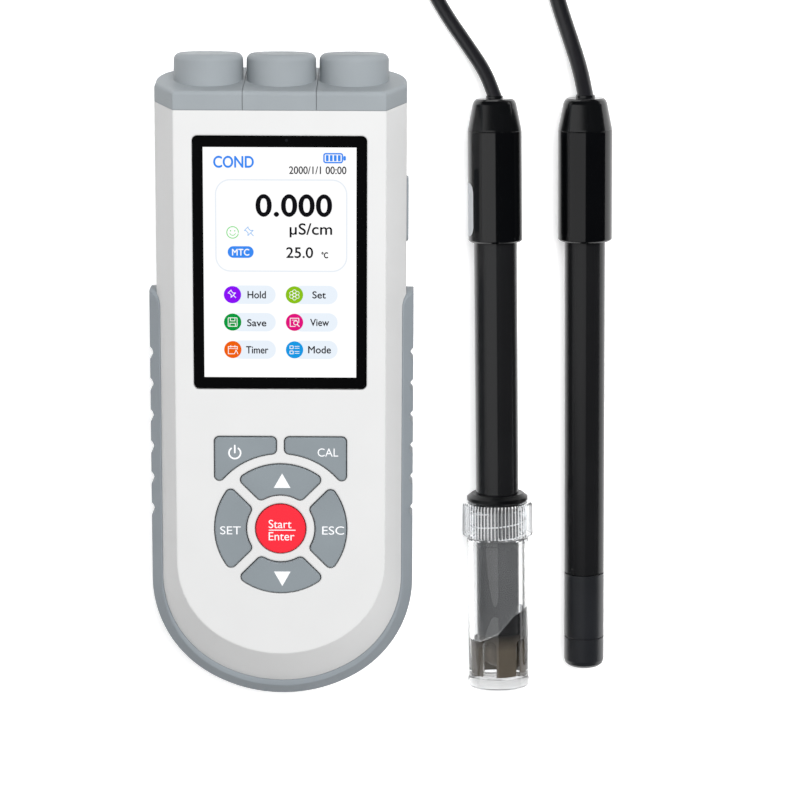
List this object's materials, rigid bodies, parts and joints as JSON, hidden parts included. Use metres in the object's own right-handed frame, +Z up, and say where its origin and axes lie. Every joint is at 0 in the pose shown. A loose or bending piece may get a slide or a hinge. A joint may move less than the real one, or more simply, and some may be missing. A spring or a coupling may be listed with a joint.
{
  "type": "water quality meter with electrodes",
  "caption": "Handheld meter with colour display, round keypad and capped sockets, lying beside a bottled glass electrode and an oxygen electrode on leads.",
  "frame": {"origin": "centre of the meter's flat back, on the surface that it lies on", "axes": "+Z up out of the display and keys, +Y along the meter towards its sockets, +X towards the two electrodes, to the right of the display"},
  "size_m": [0.2076, 0.2815, 0.0327],
  "materials": {
    "shell_white": "satin",
    "rubber_grey": "matt",
    "cap_rubber": "matt",
    "key_grey": "satin",
    "key_red": "satin",
    "seal_black": "matt",
    "lens": "glossy",
    "display": "glossy",
    "board_green": "satin",
    "steel": "brushed",
    "nickel": "plated",
    "cell": "glossy",
    "panel_grey": "matt",
    "probe_black": "satin",
    "probe_glass": "clear",
    "junction_white": "matt",
    "ring_rubber": "matt",
    "clear_plastic": "clear",
    "solution": "liquid",
    "membrane_cap": "satin",
    "lead_grey": "matt"
  },
  "bodies": {
    "meter": {"front_shell": "shell_white", "rear_shell": "shell_white", "shell_seal": "seal_black", "bumper": "rubber_grey", "case_screws": "steel", "display_lens": "lens", "display_module": "display", "keypad_mat": "seal_black", "main_board": "board_green", "charging_port": "steel", "battery_1": "cell", "battery_2": "cell", "battery_3": "cell", "battery_contacts": "steel", "socket_panel": "panel_grey", "socket_ph": "nickel", "socket_orp": "nickel", "socket_oxygen": "nickel", "socket_contacts": "nickel"},
    "battery_door": {"battery_door": "shell_white", "door_seal": "seal_black", "door_screws": "steel"},
    "key_power": {"key_power": "key_grey"},
    "key_cal": {"key_cal": "key_grey"},
    "key_up": {"key_up": "key_grey"},
    "key_down": {"key_down": "key_grey"},
    "key_set": {"key_set": "key_grey"},
    "key_escape": {"key_escape": "key_grey"},
    "key_start": {"key_start": "key_red"},
    "cap_left": {"cap_left": "cap_rubber"},
    "cap_middle": {"cap_middle": "cap_rubber"},
    "cap_right": {"cap_right": "cap_rubber"},
    "port_cover": {"port_cover": "rubber_grey"},
    "ph_electrode": {"ph_handle": "probe_black", "ph_end_cap": "probe_black", "ph_shaft": "probe_black", "ph_glass": "probe_glass", "ph_junction": "junction_white", "ph_ring": "ring_rubber", "ph_lead": "lead_grey", "ph_coil": "lead_grey", "ph_tail": "lead_grey", "ph_plug": "probe_black"},
    "storage_cap": {"storage_cap": "clear_plastic"},
    "storage_bottle": {"storage_bottle": "clear_plastic", "storage_solution": "solution"},
    "ph_plug_ring": {"ph_plug_ring": "nickel"},
    "do_electrode": {"do_handle": "probe_black", "do_end_cap": "probe_black", "do_shaft": "probe_black", "do_stem": "probe_black", "do_lead": "lead_grey", "do_coil": "lead_grey", "do_tail": "lead_grey", "do_plug": "probe_black"},
    "membrane_cap": {"do_sleeve": "membrane_cap", "do_membrane_tip": "membrane_cap"},
    "do_plug_ring": {"do_plug_ring": "nickel"}
  },
  "joints": [
    {"name": "battery_door_lift", "type": "slide", "parent": "meter", "child": "battery_door", "axis": [0, 0, -1], "range_m": [0, 0.02]},
    {"name": "key_power_press", "type": "slide", "parent": "meter", "child": "key_power", "axis": [0, 0, -1], "range_m": [0, 0.0007], "stiffness_N_per_m": 600},
    {"name": "key_cal_press", "type": "slide", "parent": "meter", "child": "key_cal", "axis": [0, 0, -1], "range_m": [0, 0.0007], "stiffness_N_per_m": 600},
    {"name": "key_up_press", "type": "slide", "parent": "meter", "child": "key_up", "axis": [0, 0, -1], "range_m": [0, 0.0007], "stiffness_N_per_m": 600},
    {"name": "key_down_press", "type": "slide", "parent": "meter", "child": "key_down", "axis": [0, 0, -1], "range_m": [0, 0.0007], "stiffness_N_per_m": 600},
    {"name": "key_set_press", "type": "slide", "parent": "meter", "child": "key_set", "axis": [0, 0, -1], "range_m": [0, 0.0007], "stiffness_N_per_m": 600},
    {"name": "key_escape_press", "type": "slide", "parent": "meter", "child": "key_escape", "axis": [0, 0, -1], "range_m": [0, 0.0007], "stiffness_N_per_m": 600},
    {"name": "key_start_press", "type": "slide", "parent": "meter", "child": "key_start", "axis": [0, 0, -1], "range_m": [0, 0.0007], "stiffness_N_per_m": 600},
    {"name": "cap_left_pull", "type": "slide", "parent": "meter", "child": "cap_left", "axis": [0, 1, 0], "range_m": [0, 0.018]},
    {"name": "cap_middle_pull", "type": "slide", "parent": "meter", "child": "cap_middle", "axis": [0, 1, 0], "range_m": [0, 0.018]},
    {"name": "cap_right_pull", "type": "slide", "parent": "meter", "child": "cap_right", "axis": [0, 1, 0], "range_m": [0, 0.018]},
    {"name": "port_cover_flap", "type": "hinge", "parent": "meter", "child": "port_cover", "pos_m": [0.0367, 0.05425, 0.0095], "axis": [0, 1, 0], "range_deg": [0, 100]},
    {"name": "ph_electrode_lift", "type": "slide", "parent": "meter", "child": "ph_electrode", "axis": [0, 0, 1], "range_m": [0, 0.06]},
    {"name": "storage_cap_turn", "type": "hinge", "parent": "ph_electrode", "child": "storage_cap", "pos_m": [0.06445, -0.03988, 0.0107], "axis": [-0.0171, 0.9996, -0.0228], "range_deg": [0, 540]},
    {"name": "storage_bottle_pull", "type": "slide", "parent": "ph_electrode", "child": "storage_bottle", "axis": [0.0171, -0.9996, 0.0228], "range_m": [0, 0.058]},
    {"name": "ph_plug_ring_turn", "type": "hinge", "parent": "ph_electrode", "child": "ph_plug_ring", "pos_m": [-0.0383, 0.1768, 0.0072], "axis": [1, 0, 0], "range_deg": [0, 90]},
    {"name": "do_electrode_lift", "type": "slide", "parent": "meter", "child": "do_electrode", "axis": [0, 0, 1], "range_m": [0, 0.06]},
    {"name": "membrane_cap_pull", "type": "slide", "parent": "do_electrode", "child": "membrane_cap", "axis": [0.0148, -0.9998, -0.0158], "range_m": [0, 0.03]},
    {"name": "do_plug_ring_turn", "type": "hinge", "parent": "do_electrode", "child": "do_plug_ring", "pos_m": [0.1574, 0.1821, 0.0076], "axis": [1, 0, 0], "continuous": true}
  ]
}
